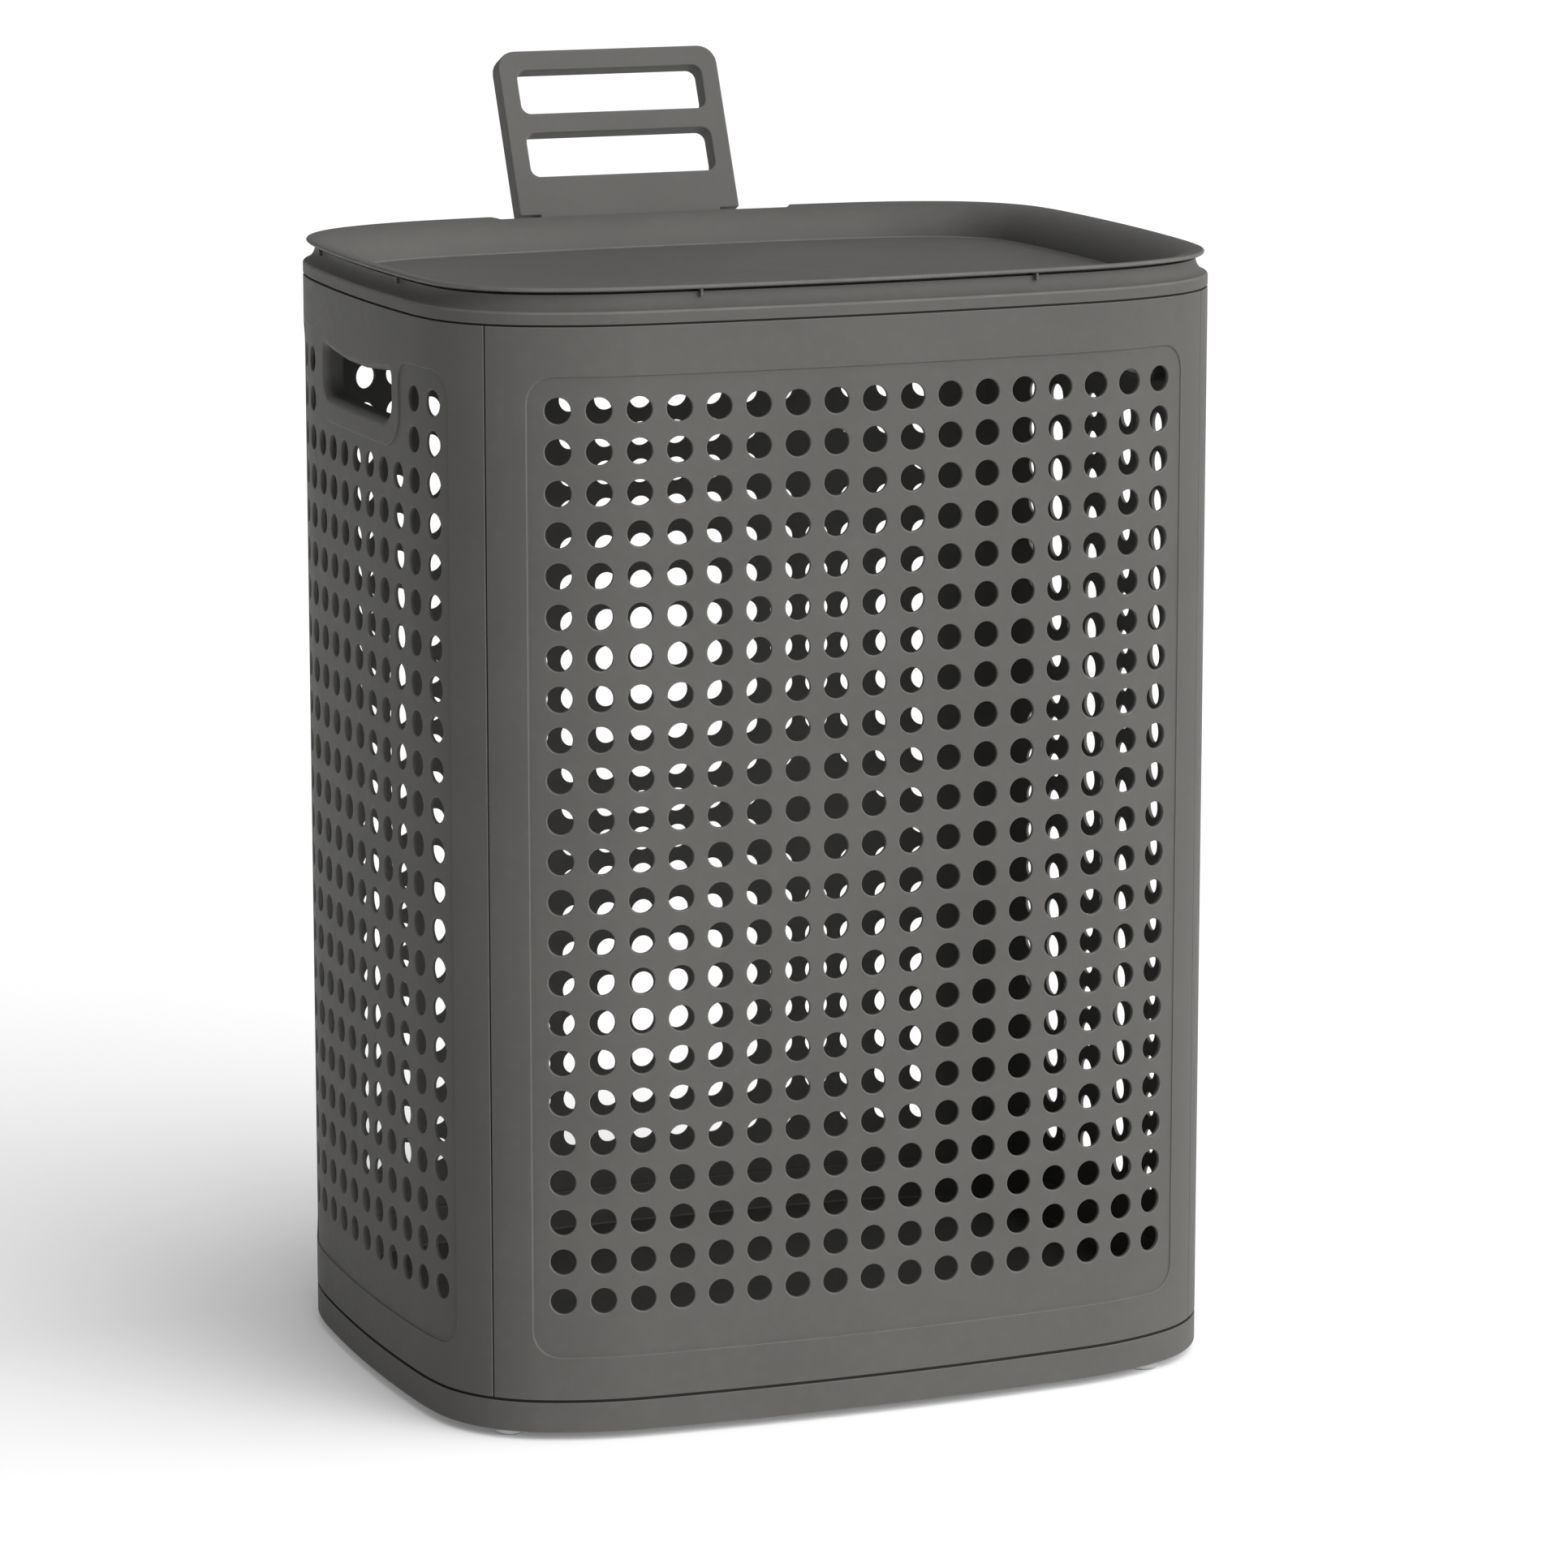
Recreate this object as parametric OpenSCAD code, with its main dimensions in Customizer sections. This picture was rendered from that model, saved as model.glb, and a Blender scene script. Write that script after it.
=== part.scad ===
// Laundry hamper with a lift-off tray lid and a folding slotted rail.
// Front faces -Y, left is -X, +Z is up, z = 0 is the surface that it stands on.
// The origin is the middle of the body's plan outline.

/* [Body] */
// Width of the body, side to side
body_w = 424; // [410:1:440]
// Depth of the body, front to back
body_d = 328; // [318:1:340]
// Height of the perforated panels, seam to seam
panel_h = 531.5; // [530:0.5:540]
// Height of the base skirt below the panels
skirt_h = 16; // [14:1:20]
// Wall thickness of the panels
panel_t = 3; // [2.5:0.1:3]
// Depth of the sunken field on each panel
recess_depth = 0.9; // [0.5:0.1:1.2]

/* [Perforation] */
// Distance between holes, along the wall and up
pitch = 20; // [19.5:0.1:20.2]
// Diameter of each hole
hole_d = 12.8; // [10:0.1:13]

/* [Lid] */
// Depth of the tray below the flange
tray_depth = 17; // [15:0.5:18]
// Thickness of the lid's wall
lid_t = 2.2; // [1.8:0.1:2.4]
// Width of the gap in the rear flange
notch_w = 166; // [150:1:180]

/* [Rail] */
// Width of the slotted rail
rail_w = 124; // [116:1:132]
// Thickness of the slotted rail
rail_t = 10.5; // [9:0.5:11]
// Lean of the rail from vertical
rail_lean = 24; // [15:1:30]

/* [Feet] */
// Height of the rubber feet below the skirt
foot_h = 4; // [3:0.5:6]

/* [Hidden] */
$fn = 48;

plastic = [0.30, 0.295, 0.285];
steel = [0.72, 0.72, 0.70];
rubber = [0.83, 0.84, 0.84];

// Plan outline: a quarter is a chain of tangent arcs, each [radius, turn],
// from the middle of the front to the middle of the right side.
corner_arcs = [[150, 20], [67, 54], [200, 7]];
front_turn = 4.8;
side_turn = 90 - front_turn - 20 - 54 - 7;
function turned(k) = k < 0 ? front_turn : turned(k - 1) + corner_arcs[k][1];
function corner_dx(k = 0) = k > 2 ? 0 :
    corner_arcs[k][0] * (sin(turned(k)) - sin(turned(k - 1))) + corner_dx(k + 1);
function corner_dy(k = 0) = k > 2 ? 0 :
    corner_arcs[k][0] * (cos(turned(k - 1)) - cos(turned(k))) + corner_dy(k + 1);
// The two bow radii follow from the width and the depth.
rest_x = body_w / 2 - corner_dx();
rest_y = body_d / 2 - corner_dy();
bow_det = sin(front_turn) * sin(side_turn) - (1 - cos(side_turn)) * (1 - cos(front_turn));
front_r = (rest_x * sin(side_turn) - (1 - cos(side_turn)) * rest_y) / bow_det;
side_r = (sin(front_turn) * rest_y - (1 - cos(front_turn)) * rest_x) / bow_det;
quarter = concat([[front_r, front_turn]], corner_arcs, [[side_r, side_turn]]);
function arc_len(a) = a[0] * a[1] * PI / 180;
quarter_len = arc_len(quarter[0]) + arc_len(quarter[1]) + arc_len(quarter[2])
            + arc_len(quarter[3]) + arc_len(quarter[4]);
loop_len = 4 * quarter_len;

// Point and heading at length u along the quarter
function along(u, k = 0, p = [0, -body_d / 2], h = 0) =
    let (r = quarter[k][0], l = arc_len(quarter[k]),
         last = u <= l || k == len(quarter) - 1,
         h2 = h + (last ? u / r * 180 / PI : quarter[k][1]),
         p2 = p + r * [sin(h2) - sin(h), cos(h) - cos(h2)])
    last ? [p2, h2] : along(u - l, k + 1, p2, h2);

// Point of the outline at length s from the middle of the front, anticlockwise
// seen from above, moved inwards by inset
function outline(s, inset = 0) =
    let (w = s - loop_len * floor(s / loop_len), k = min(3, floor(w / quarter_len)),
         u = k % 2 == 0 ? w - k * quarter_len : (k + 1) * quarter_len - w,
         a = along(u), p = a[0] - inset * [sin(a[1]), -cos(a[1])])
    [p[0] * (k < 2 ? 1 : -1), p[1] * (k == 0 || k == 3 ? 1 : -1)];

// Corners of the faceted wall: midway between hole columns, closer at the corners
front_cols = 8;
side_cols = 5;
front_field = (front_cols + 0.5) * pitch;
side_field = (side_cols + 0.5) * pitch;
corner_steps = 8;
corner_len = quarter_len - front_field - side_field;
quarter_stops = concat(
    [for (i = [0 : front_cols]) (i + 0.5) * pitch],
    [for (i = [1 : corner_steps - 1]) front_field + i * corner_len / corner_steps],
    [for (i = [side_cols : -1 : 0]) quarter_len - (i + 0.5) * pitch]);
last_stop = len(quarter_stops) - 1;
loop_stops = concat(
    quarter_stops,
    [for (i = [last_stop : -1 : 0]) 2 * quarter_len - quarter_stops[i]],
    [for (u = quarter_stops) 2 * quarter_len + u],
    [for (i = [last_stop : -1 : 0]) 4 * quarter_len - quarter_stops[i]]);
two_loops = concat([for (s = loop_stops) s - loop_len], loop_stops);

// Middles of the four walls, and the places of the vertical seams
front_mid = 0;
right_mid = quarter_len;
back_mid = 2 * quarter_len;
left_mid = 3 * quarter_len;
seam_s = 196;
side_seam_s = quarter_len - seam_s;
seam_gap = 0.7;

// Heights
skirt_bottom = foot_h;
low_seam = skirt_bottom + skirt_h;
top_seam = low_seam + panel_h;
panel_bottom = low_seam + 0.7;
panel_top = top_seam - 0.5;
hole_rows = 23;
field_mid = (low_seam + top_seam) / 2 + 5;
flange_top = top_seam + 18.1;
tray_floor = flange_top - tray_depth;
band_top = top_seam + 5.4;
rim_top = top_seam + 14.3;

// Flat loop of the outline, moved inwards
module plan(inset) {
    polygon([for (s = loop_stops) outline(s, inset)]);
}

// Ring between two insets, from z0 to z1
module ring(inset_out, inset_in, z0, z1) {
    translate([0, 0, z0])
        linear_extrude(z1 - z0)
            difference() {
                plan(inset_out);
                plan(inset_in);
            }
}

// Stretch of wall from length s0 to s1, between two insets, from z0 to z1
module wall(s0, s1, inset_out, inset_in, z0, z1) {
    stops = concat([s0], [for (s = two_loops) if (s > s0 + 0.5 && s < s1 - 0.5) s], [s1]);
    n = len(stops) - 1;
    translate([0, 0, z0])
        linear_extrude(z1 - z0)
            polygon(concat([for (s = stops) outline(s, inset_out)],
                           [for (i = [n : -1 : 0]) outline(stops[i], inset_in)]));
}

// Puts its children at length s on the wall, +X along it and -Y outwards
module on_wall(s) {
    p = outline(s);
    step = outline(s + 1) - outline(s - 1);
    translate([p[0], p[1], 0])
        rotate(atan2(step[1], step[0]))
            children();
}

// Points of an arc, from angle a0 to a1
function arc_points(centre, r, a0, a1, steps) =
    [for (i = [0 : steps]) let (a = a0 + (a1 - a0) * i / steps) centre + r * [cos(a), sin(a)]];

// Rectangle with round corners about a middle point
module round_box(mid, w, h, r) {
    x = w / 2 - r;
    y = h / 2 - r;
    translate(mid)
        polygon(concat(arc_points([x, y], r, 0, 90, 6), arc_points([-x, y], r, 90, 180, 6),
                       arc_points([-x, -y], r, 180, 270, 6), arc_points([x, -y], r, 270, 360, 6)));
}

// Base: skirt, floor, an upstand inside the panels and four foot bosses
collar_out = panel_t + 0.2;
collar_in = collar_out + 2.4;
base_floor_t = 2.5;
base_floor = low_seam - 0.5;
stem_r = 4;
boss_r = 9;
boss_hole_depth = 8;
foot_places = [[-178, -124], [160, -138], [-160, 138], [178, 124]];
module base_tray() {
    color(plastic)
        difference() {
            union() {
                ring(0, 3, skirt_bottom, low_seam - 0.7);
                ring(1.5, collar_in, base_floor - base_floor_t, panel_bottom);
                ring(collar_out, collar_in, base_floor, low_seam + 20);
                translate([0, 0, base_floor - base_floor_t])
                    linear_extrude(base_floor_t)
                        plan(2);
                for (p = foot_places)
                    translate([p[0], p[1], skirt_bottom])
                        cylinder(r = boss_r, h = base_floor - skirt_bottom - 1);
            }
            for (p = foot_places)
                translate([p[0], p[1], skirt_bottom - 1])
                    cylinder(r = stem_r + 0.05, h = boss_hole_depth + 1);
        }
}

// Rubber foot: a shallow dome with a stem that presses into its boss
foot_r = 8;
module foot(place) {
    dome = 1.5;
    color(rubber)
        translate([place[0], place[1], 0])
            rotate_extrude()
                polygon(concat([[0, 0]],
                               arc_points([foot_r - dome, dome], dome, 270, 360, 5),
                               [[foot_r, foot_h], [stem_r, foot_h],
                                [stem_r, foot_h + boss_hole_depth - 1],
                                [0, foot_h + boss_hole_depth - 1]]));
}

// Holes of one wall; rows are counted from the bottom
module holes(mid, cols, short_cols, short_rows) {
    for (i = [-cols : cols]) {
        rows = abs(i) <= short_cols ? short_rows : hole_rows;
        for (j = [0 : rows - 1])
            on_wall(mid + i * pitch)
                translate([0, 0, field_mid + (j - (hole_rows - 1) / 2) * pitch])
                    rotate([90, 0, 0])
                        cylinder(d = hole_d, h = 24, center = true);
    }
}

// Front and back panels: the sunken field and its holes
field_top = top_seam - 24.4;
field_bottom = low_seam + 22.5;
field_corner = 12;
bracket_x = 54;
module wide_panel(mid, screws) {
    field_x = outline(175)[0];
    field_h = field_top - field_bottom;
    color(plastic)
        difference() {
            wall(mid - seam_s + seam_gap / 2, mid + seam_s - seam_gap / 2, 0, panel_t,
                 panel_bottom, panel_top);
            intersection() {
                wall(mid - 180, mid + 180, -1, recess_depth, field_bottom, field_top);
                rotate([90, 0, 0])
                    linear_extrude(body_d + 10, center = true)
                        round_box([0, field_bottom + field_h / 2], 2 * field_x, field_h,
                                  field_corner);
            }
            holes(mid, front_cols, -1, hole_rows);
            if (screws)
                bracket_holes(1.95);
        }
}

module front_panel() {
    wide_panel(front_mid, false);
}

module back_panel() {
    wide_panel(back_mid, true);
}

// Left and right panels: the sunken field runs under the hand hold
hold_w = 104;
hold_low = field_mid + 10.28 * pitch;
hold_top = field_mid + 11.5 * pitch;
hold_sag = 3.5;
lip_t = 2.4;
boss_w = 126;
boss_low = field_mid + 9.64 * pitch;
// Outline of the hand hold in Y and Z, grown outwards; its top edge sags in the middle
module hold_shape(grow) {
    x = hold_w / 2 + grow;
    r_low = 9 + grow;
    r_top = 3 + grow;
    sag_r = ((x - r_top) * (x - r_top) + hold_sag * hold_sag) / (2 * hold_sag);
    sag_a = asin((x - r_top) / sag_r);
    polygon(concat(
        arc_points([-x + r_low, hold_low - grow + r_low], r_low, 180, 270, 6),
        arc_points([x - r_low, hold_low - grow + r_low], r_low, 270, 360, 6),
        arc_points([x - r_top, hold_top + grow - r_top], r_top, 0, 90, 4),
        arc_points([0, hold_top + grow - hold_sag + sag_r], sag_r, 270 + sag_a, 270 - sag_a, 12),
        arc_points([-x + r_top, hold_top + grow - r_top], r_top, 90, 180, 4)));
}

module side_panel(mid) {
    side = mid == right_mid ? 1 : -1;
    field_y = -outline(quarter_len - 113.6)[1];
    field_h = field_top - field_bottom;
    lip_x = body_w / 2 - 2.7;
    lip_depth = 8;
    color(plastic)
        difference() {
            union() {
                wall(mid - side_seam_s + seam_gap / 2, mid + side_seam_s - seam_gap / 2,
                     0, panel_t, panel_bottom, panel_top);
                translate([side * (lip_x - lip_depth / 2), 0, 0])
                    rotate([90, 0, 90])
                        linear_extrude(lip_depth, center = true)
                            hold_shape(lip_t);
            }
            intersection() {
                wall(mid - 118, mid + 118, -1, recess_depth, field_bottom, field_top);
                rotate([90, 0, 90])
                    linear_extrude(body_w + 10, center = true)
                        difference() {
                            round_box([0, field_bottom + field_h / 2], 2 * field_y, field_h,
                                      field_corner);
                            round_box([0, boss_low + 50], boss_w, 100, 18);
                        }
            }
            translate([side * body_w / 2, 0, 0])
                rotate([90, 0, 90])
                    linear_extrude(40, center = true)
                        hold_shape(0);
            holes(mid, side_cols, 3, hole_rows - 2);
        }
}

module left_panel() {
    side_panel(left_mid);
}

module right_panel() {
    side_panel(right_mid);
}

// Strip behind a vertical seam that holds the two panels edge to edge
module seam_strip(s) {
    color(plastic)
        wall(s - 11, s + 11, panel_t + 0.1, panel_t + 2.1, low_seam + 21, top_seam - 25.5);
}

// Closed profile [inset, z] swept round the outline
function swept_points(profile) =
    [for (s = loop_stops, p = profile) let (q = outline(s, p[0])) [q[0], q[1], p[1]]];
function swept_faces(stops, n, closed) =
    [for (i = [0 : stops - 1], j = [0 : n - (closed ? 1 : 2)])
        let (a = i * n, b = ((i + 1) % stops) * n, k = (j + 1) % n)
        [a + j, a + k, b + k, b + j]];

// Rim: a band over the panels, a cove up to the neck, and a skirt inside the panels
neck_inset = 6.2;
rim_in = 8.6;
shoulder_r = 1.6;
cove_r = 7.9;
cove_c = [neck_inset - cove_r, rim_top];
cove_end = 69.7;
module rim_frame() {
    skirt_out = panel_t + 0.3;
    skirt_in = skirt_out + 3;
    skirt_low = top_seam - 24.5;
    profile = concat(
        [[0, top_seam + 0.5]],
        arc_points([shoulder_r, band_top], shoulder_r, 180, 180 - cove_end, 4),
        arc_points(cove_c, cove_r, -cove_end, 0, 7),
        [[rim_in, rim_top], [rim_in, top_seam + 7], [skirt_in, top_seam + 1.5],
         [skirt_in, skirt_low], [skirt_out, skirt_low], [skirt_out, panel_top],
         [1.5, panel_top], [1.5, top_seam + 0.5]]);
    color(plastic)
        difference() {
            polyhedron(swept_points(profile),
                       swept_faces(len(loop_stops), len(profile), true));
            bracket_holes(1.95);
        }
}

// Lid: a dished tray with a rounded flange, a gap at the rear, and fins that stand on the rim
lip_inset = 2;
dish_r = 22.5;
dish_c = [lip_inset + 1, flange_top - dish_r];
fin_t = 1.3;
fin_stops = [-278, -88, 88, 278, quarter_len + 73, quarter_len * 2 - 110,
             quarter_len * 2 + 110, quarter_len * 3 - 73];
module lid() {
    under_r = dish_r - lid_t;
    top_end = asin((tray_floor - dish_c[1]) / dish_r);
    under_end = asin((tray_floor - lid_t - dish_c[1]) / under_r);
    profile = concat(
        arc_points(dish_c, dish_r, top_end, 90, 10),
        arc_points([dish_c[0], flange_top - lid_t / 2], lid_t / 2, 110, 250, 4),
        arc_points(dish_c, under_r, 90, under_end, 9));
    n = len(profile);
    stops = len(loop_stops);
    color(plastic)
        difference() {
            union() {
                polyhedron(swept_points(profile),
                           concat(swept_faces(stops, n, false),
                                  [[for (i = [stops - 1 : -1 : 0]) i * n],
                                   [for (i = [0 : stops - 1]) i * n + n - 1]]));
                for (s = fin_stops)
                    on_wall(s)
                        fin();
            }
            translate([-notch_w / 2, body_d / 2 - lip_inset - 7, tray_floor + 6])
                cube([notch_w, 20, tray_depth]);
        }
}

// Fin under the flange: a tab outside the neck, a seat on the rim and a tongue inside it
module fin() {
    rotate([90, 0, 90])
        linear_extrude(fin_t, center = true)
            polygon([[3.4, flange_top - 1], [3.4, rim_top - 2.4], [5.4, rim_top - 2.4],
                     [5.4, rim_top], [rim_in + 0.4, rim_top], [rim_in + 0.4, rim_top - 5],
                     [rim_in + 3, rim_top - 5], [rim_in + 5, rim_top - 1.5], [rim_in, flange_top - 1]]);
}

// Rail: a leaning plate with two slots, ribbed behind, on a pin across the back
pin_y = body_d / 2 + 12;
pin_z = top_seam + 6.5;
pin_r = 2;
knuckle_r = rail_t / 2;
rail_len = 99.5;
slot_w = 104;
slot_h = 24;
slot_top = rail_len - 11;
slot_step = slot_h + 11;
rail_wall = 2.4;
lug_t = 6;
lug_x = 51;
module rail_outline(grow) {
    difference() {
        translate([0, rail_len / 2])
            round_box([0, 0], rail_w + 2 * grow, rail_len + 2 * grow, 10 + grow);
        for (i = [0 : 1])
            round_box([0, slot_top - slot_h / 2 - i * slot_step],
                      slot_w - 2 * grow, slot_h - 2 * grow, 5 - grow);
    }
}

module rail_plate() {
    foot_gap = knuckle_r + 3;
    barrel = 2 * (lug_x - 0.4);
    color(plastic)
        translate([0, pin_y, pin_z])
            rotate([-rail_lean, 0, 0])
                difference() {
                    union() {
                        rotate([90, 0, 0])
                            linear_extrude(rail_t, center = true)
                                rail_outline(0);
                        rotate([0, 90, 0])
                            cylinder(r = knuckle_r, h = barrel, center = true);
                    }
                    translate([0, knuckle_r - (rail_t - rail_wall) / 2 + 0.5, 0])
                        rotate([90, 0, 0])
                            linear_extrude(rail_t - rail_wall + 1, center = true)
                                difference() {
                                    rail_outline(-rail_wall);
                                    translate([-rail_w / 2, -1])
                                        square([rail_w, foot_gap + rail_wall + 1]);
                                }
                    for (side = [-1, 1])
                        translate([side * (barrel / 2 + 20), 0, 0])
                            cube([40, 3 * rail_t, 2 * foot_gap], center = true);
                    rotate([0, 90, 0])
                        cylinder(r = pin_r + 0.05, h = 2 * body_w, center = true);
                }
}

// Pin: a steel rod with a head at its left end
module rail_pin() {
    grip = lug_x + lug_t + 1.5;
    color(steel)
        translate([0, pin_y, pin_z])
            rotate([0, 90, 0]) {
                translate([0, 0, -grip])
                    cylinder(r = pin_r, h = 2 * grip);
                translate([0, 0, -grip - 1.6])
                    cylinder(r = 3.4, h = 1.6);
            }
}

// Bracket: a pad screwed to the back panel, and a lug that carries the pin
pad_w = 21;
pad_t = 3.5;
pad_low = top_seam - 24;
pad_high = top_seam - 1.5;
module rail_bracket(side) {
    x = side * bracket_x;
    s = back_mid - x;
    wall_y = body_d / 2;
    color(plastic)
        difference() {
            union() {
                wall(s - pad_w / 2, s + pad_w / 2, -pad_t, 0, pad_low, pad_high);
                translate([x, 0, 0])
                    rotate([90, 0, 90])
                        linear_extrude(lug_t, center = true)
                            polygon(concat(
                                arc_points([pin_y, pin_z], 5.6, -110, 160, 20),
                                [[wall_y + 4.2, top_seam + 1.5], [wall_y + 1, pad_high],
                                 [wall_y + 1, pad_low + 2], [wall_y + pad_t, pad_low],
                                 [pin_y - 6.2, pin_z - 7]]));
            }
            translate([0, pin_y, pin_z])
                rotate([0, 90, 0])
                    cylinder(r = pin_r + 0.02, h = 2 * body_w, center = true);
            bracket_holes(1.95);
        }
}

module rail_bracket_left() {
    rail_bracket(-1);
}

module rail_bracket_right() {
    rail_bracket(1);
}

// Screw places: two in each bracket pad, one each side of the lug; +Z points outwards
screw_z = [top_seam - 18, top_seam - 7];
screw_dx = 6.7;
module at_screws() {
    for (side = [-1, 1], i = [0, 1])
        on_wall(back_mid - side * bracket_x + (i == 0 ? -screw_dx : screw_dx))
            translate([0, 0, screw_z[i]])
                rotate([90, 0, 0])
                    children();
}

module bracket_holes(r) {
    at_screws()
        cylinder(r = r, h = 24, center = true);
}

module bracket_screws() {
    shank = 11;
    color(steel)
        at_screws()
            translate([0, 0, pad_t + 0.05]) {
                cylinder(r = 3.2, h = 2);
                translate([0, 0, -shank])
                    cylinder(r = 1.9, h = shank);
            }
}

module seam_strip_front_left() {
    seam_strip(-seam_s);
}

module seam_strip_front_right() {
    seam_strip(seam_s);
}

module seam_strip_back_left() {
    seam_strip(back_mid + seam_s);
}

module seam_strip_back_right() {
    seam_strip(back_mid - seam_s);
}

module foot_front_left() {
    foot(foot_places[0]);
}

module foot_front_right() {
    foot(foot_places[1]);
}

module foot_back_left() {
    foot(foot_places[2]);
}

module foot_back_right() {
    foot(foot_places[3]);
}

base_tray();
front_panel();
back_panel();
left_panel();
right_panel();
rim_frame();
lid();
rail_plate();
rail_pin();
rail_bracket_left();
rail_bracket_right();
bracket_screws();
seam_strip_front_left();
seam_strip_front_right();
seam_strip_back_left();
seam_strip_back_right();
foot_front_left();
foot_front_right();
foot_back_left();
foot_back_right();
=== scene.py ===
"""Laundry hamper with a lift-off tray lid and a folding slotted rail: its looks.

Shapes are drawn flat, in millimetres, and then laid on the body. On the wall of the hamper, u is
the length round the plan outline from the middle of the front, anticlockwise seen from above,
v is the height, and depth is the inset from the outer face. Meshes are made in metres.
"""

import math

import bpy
import numpy as np
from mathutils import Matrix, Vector
from mathutils.geometry import delaunay_2d_cdt
from mathutils.kdtree import KDTree

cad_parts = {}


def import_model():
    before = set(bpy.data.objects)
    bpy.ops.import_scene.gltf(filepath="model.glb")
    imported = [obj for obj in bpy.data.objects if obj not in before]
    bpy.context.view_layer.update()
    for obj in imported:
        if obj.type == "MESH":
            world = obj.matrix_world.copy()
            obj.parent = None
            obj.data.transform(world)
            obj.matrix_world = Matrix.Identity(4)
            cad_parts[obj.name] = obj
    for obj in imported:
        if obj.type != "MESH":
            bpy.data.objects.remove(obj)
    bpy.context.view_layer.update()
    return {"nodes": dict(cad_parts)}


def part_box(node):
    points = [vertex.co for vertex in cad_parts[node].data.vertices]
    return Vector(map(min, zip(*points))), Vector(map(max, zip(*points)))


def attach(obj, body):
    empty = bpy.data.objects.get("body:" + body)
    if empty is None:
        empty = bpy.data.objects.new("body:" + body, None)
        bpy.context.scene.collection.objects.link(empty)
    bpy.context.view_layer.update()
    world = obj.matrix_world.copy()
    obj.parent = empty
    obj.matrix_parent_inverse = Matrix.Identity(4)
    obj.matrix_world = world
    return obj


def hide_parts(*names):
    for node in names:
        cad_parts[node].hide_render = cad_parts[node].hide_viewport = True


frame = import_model()

MM = 0.001


def box_mm(node):
    """Lowest and highest corner of a CAD node, in millimetres."""
    low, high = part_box(node)
    return np.array(low) / MM, np.array(high) / MM


# ---------------------------------------------------------------- plan outline

body_low, body_high = box_mm("base_tray")
FRONT_TURN = 4.8
CORNER_ARCS = ((150, 20), (67, 54), (200, 7))


class Outline:
    """Plan outline of the body: four mirrored quarters, each a chain of tangent arcs."""

    def __init__(self, half_w, half_d):
        turns = [FRONT_TURN, *(turn for _, turn in CORNER_ARCS)]
        turns = np.radians([*turns, 90 - sum(turns)])
        headings = np.concatenate([[0], np.cumsum(turns)])
        dx = np.diff(np.sin(headings))
        dy = -np.diff(np.cos(headings))
        radii = np.array([0.0, *(radius for radius, _ in CORNER_ARCS), 0.0])
        # the radii of the front and side bows follow from the half sizes
        rest = [half_w - radii @ dx, half_d - radii @ dy]
        radii[[0, -1]] = np.linalg.solve([[dx[0], dx[-1]], [dy[0], dy[-1]]], rest)
        self.radii = radii
        self.headings = headings[:-1]
        self.starts = np.concatenate([[0], np.cumsum(radii * turns)])
        self.x = np.concatenate([[0], np.cumsum(radii * dx)])[:-1]
        self.y = np.concatenate([[0], np.cumsum(radii * dy)])[:-1] - half_d
        self.quarter = self.starts[-1]
        self.length = 4 * self.quarter

    def at(self, s, inset):
        """Plan positions and outward normals at lengths s, moved inwards by inset."""
        s = np.mod(s, self.length)
        k = np.minimum((s / self.quarter).astype(int), 3)
        u = np.where(k % 2 == 0, s - k * self.quarter, (k + 1) * self.quarter - s)
        arc = np.clip(np.searchsorted(self.starts, u, side="right") - 1, 0, len(self.radii) - 1)
        r, h0 = self.radii[arc], self.headings[arc]
        h = h0 + (u - self.starts[arc]) / r
        out = np.stack([np.sin(h), -np.cos(h)], -1)
        place = np.stack([self.x[arc] + r * (np.sin(h) - np.sin(h0)),
                          self.y[arc] + r * (np.cos(h0) - np.cos(h))], -1)
        place = place - np.asarray(inset)[..., None] * out
        flip = np.stack([np.where(k < 2, 1, -1), np.where((k == 0) | (k == 3), 1, -1)], -1)
        return place * flip, out * flip


wall = Outline(body_high[0], body_high[1])
FRONT, RIGHT, BACK, LEFT = (k * wall.quarter for k in range(4))


def on_wall(middle):
    """Lays (u, v, depth) on the wall, with u = 0 at length middle."""

    def lay(points, normals):
        place, out = wall.at(middle + points[..., 0], points[..., 2])
        along = np.stack([-out[..., 1], out[..., 0]], -1)
        flat = normals[..., :1] * along + normals[..., 2:] * out
        return (np.concatenate([place, points[..., 1:2]], -1),
                np.concatenate([flat, normals[..., 1:2]], -1))

    return lay


def on_plane(origin, right, up):
    """Lays (u, v, depth) on a plane; depth runs away from the side that is seen."""
    right, up = np.array(right, float), np.array(up, float)
    out = np.cross(right, up)
    axes = np.array([right, up, out])

    def lay(points, normals):
        return np.array(origin) + points * [1, 1, -1] @ axes, normals @ axes

    return lay


# ---------------------------------------------------------------- outlines as arcs

SMALL_RADIUS = 4.0  # edges up to this radius catch the light and wear
STEP = 5.0          # spacing of points along straight runs and inside flat areas


def corner_arcs(corners):
    """Arcs (x, y, radius, start, end) that round a closed polygon of corners (x, y, radius)."""
    arcs = []
    count = len(corners)
    for i, (x, y, radius) in enumerate(corners):
        before, after = corners[i - 1], corners[(i + 1) % count]
        a = math.atan2(y - before[1], x - before[0])
        b = math.atan2(after[1] - y, after[0] - x)
        turn = math.remainder(b - a, 2 * math.pi)
        side = math.copysign(1, turn)
        reach = radius * math.tan(abs(turn) / 2)
        cx = x - reach * math.cos(a) - side * radius * math.sin(a)
        cy = y - reach * math.sin(a) + side * radius * math.cos(a)
        start = a - side * math.pi / 2
        arcs.append((cx, cy, radius, math.degrees(start), math.degrees(start + turn)))
    return arcs


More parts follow.
